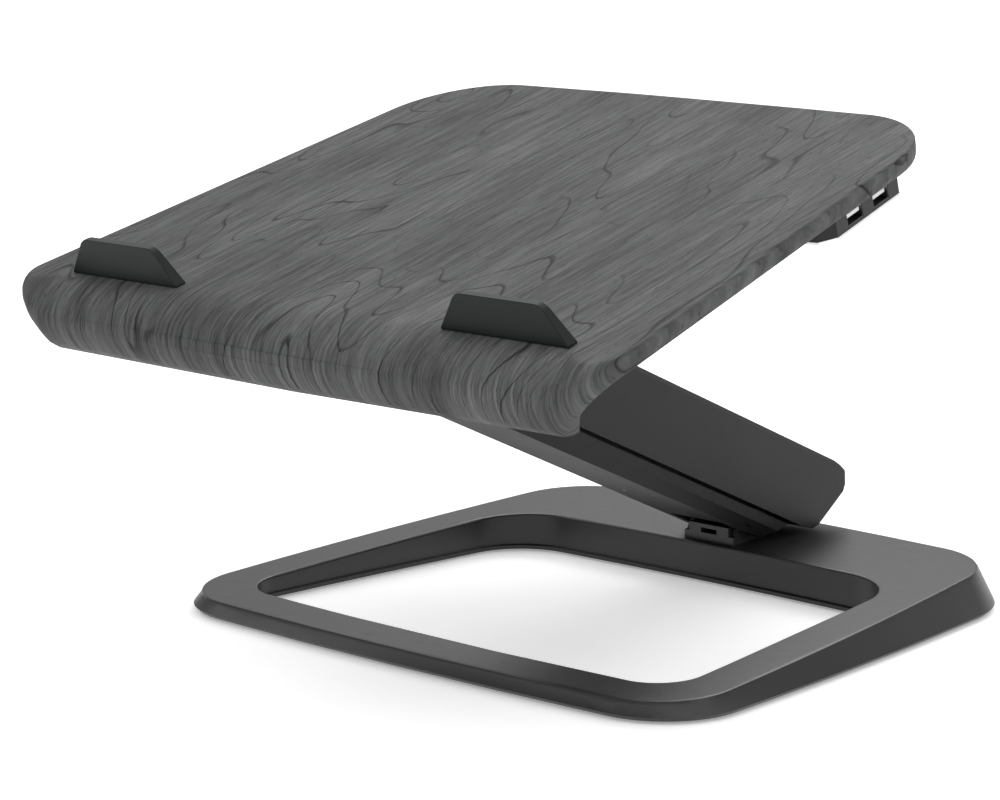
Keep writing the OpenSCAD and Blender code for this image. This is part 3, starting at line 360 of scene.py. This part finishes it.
def softened(node, name, crease, radius=0.0, segments=2):
    """A merged copy of a CAD node with smooth faces, sharp creases and, if asked, rounded edges.

    Connected faces in the plane of the widest face become one. On the platform's skin this also
    leaves out the fold that its CAD node has along the front edge of the deck.
    """
    sharp_from = math.radians(crease)
    shape = bmesh.new()
    shape.from_mesh(frame["nodes"][node].data)
    bmesh.ops.remove_doubles(shape, verts=shape.verts, dist=WELD)
    bmesh.ops.dissolve_limit(shape, angle_limit=MERGE_ANGLE, verts=shape.verts, edges=shape.edges)
    widest = max(shape.faces, key=lambda face: face.calc_area())
    level = [face for face in shape.faces if all(
        abs((vert.co - widest.verts[0].co).dot(widest.normal)) < LEVEL_WITHIN for vert in face.verts)]
    bmesh.ops.dissolve_faces(shape, faces=level, use_verts=False)
    for face in shape.faces:
        face.smooth = True
        face.material_index = 0
    for edge in shape.edges:
        edge.smooth = not (len(edge.link_faces) == 2 and edge.calc_face_angle() > sharp_from)
    piece = as_piece(name, shape, slot_of_node[node], body_of_node[node])
    if radius:
        rounding = piece.modifiers.new("rounded_edges", "BEVEL")
        rounding.width = radius
        rounding.segments = segments
        rounding.limit_method = "ANGLE"
        rounding.angle_limit = sharp_from
        rounding.harden_normals = False
        rounding.use_clamp_overlap = True
    smooth_flats = piece.modifiers.new("flat_faces_stay_flat", "WEIGHTED_NORMAL")
    smooth_flats.keep_sharp = True
    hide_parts(node)
    return piece


softened("base_shell", "base_ring", 40)
softened("platform_panel", "wood_grain_skin", 50)
softened("platform_under_cover", "underside_cover", 40)
softened("upper_arm_cover", "arm_cover", 20, 0.0006, 3)
softened("lower_arm_tray", "arm_tray", 20, 0.0005, 3)
softened("left_stop", "left_laptop_stop", 28, 0.0007, 3)
softened("right_stop", "right_laptop_stop", 28, 0.0007, 3)
softened("hub_housing", "hub_case", 25, 0.00035, 2)
softened("hub_bottom_cover", "hub_light_band", 25, 0.0002, 2)

# ---- Small details --------------------------------------------------------------


def box_into(shape, low, high, round_by, place):
    """Adds a box with rounded edges between two corners, moved by a placing matrix."""
    centre = (Vector(low) + Vector(high)) / 2
    spread = Vector(high) - Vector(low)
    made = bmesh.ops.create_cube(shape, size=1)["verts"]
    bmesh.ops.scale(shape, vec=spread, verts=made)
    bmesh.ops.translate(shape, vec=centre, verts=made)
    edges = list({edge for vert in made for edge in vert.link_edges})
    rounded = bmesh.ops.bevel(shape, geom=edges, offset=round_by, segments=2, profile=0.5,
                              affect="EDGES", material=-1)
    kept = {vert for vert in made if vert.is_valid}
    bmesh.ops.transform(shape, matrix=place, verts=list(set(rounded["verts"]) | kept))


DECK_FRONT_WIDTH = 0.362
DECK_REAR_WIDTH = 0.3038
DECK_LENGTH = 0.2898
DECK_FRONT = -0.0955    # the deck's front edge, from the tilt pin
SIDE_BOW = 0.0005
HUB_FROM_REAR = 0.073
HUB_INSET = 0.003
HUB_TOP = 0.0209 - 0.0084 - 0.0002

# The hub's own frame: on its outer face, X outwards, Y along the side, Z square to the deck
TAPER = (DECK_FRONT_WIDTH - DECK_REAR_WIDTH) / 2 / DECK_LENGTH
HUB_UP_DECK = DECK_FRONT + DECK_LENGTH - HUB_FROM_REAR
HUB_ACROSS = DECK_FRONT_WIDTH / 2 - TAPER * (HUB_UP_DECK - DECK_FRONT) + SIDE_BOW - HUB_INSET
HUB_PLACE = (Matrix.Translation(TILT_PIVOT) @ Matrix.Rotation(TILT, 4, "X")
             @ Matrix.Translation((HUB_ACROSS, HUB_UP_DECK, HUB_TOP))
             @ Matrix.Rotation(math.atan(TAPER), 4, "Z"))

SOCKETS_ALONG = (-0.01125, 0.01125)
LANES = (-0.0035, -0.00125, 0.00125, 0.0035)
CONTACT_X = (-0.0118, -0.0024)
CONTACT_Z = (-0.00382, -0.00362)
CONTACT_HALF_WIDTH = 0.0005

contacts = bmesh.new()
for middle in [socket + lane for socket in SOCKETS_ALONG for lane in LANES]:
    box_into(contacts, (CONTACT_X[0], middle - CONTACT_HALF_WIDTH, CONTACT_Z[0]),
             (CONTACT_X[1], middle + CONTACT_HALF_WIDTH, CONTACT_Z[1]), 0.00005, HUB_PLACE)
as_piece("usb_contacts", contacts, "contact_gold", "platform")
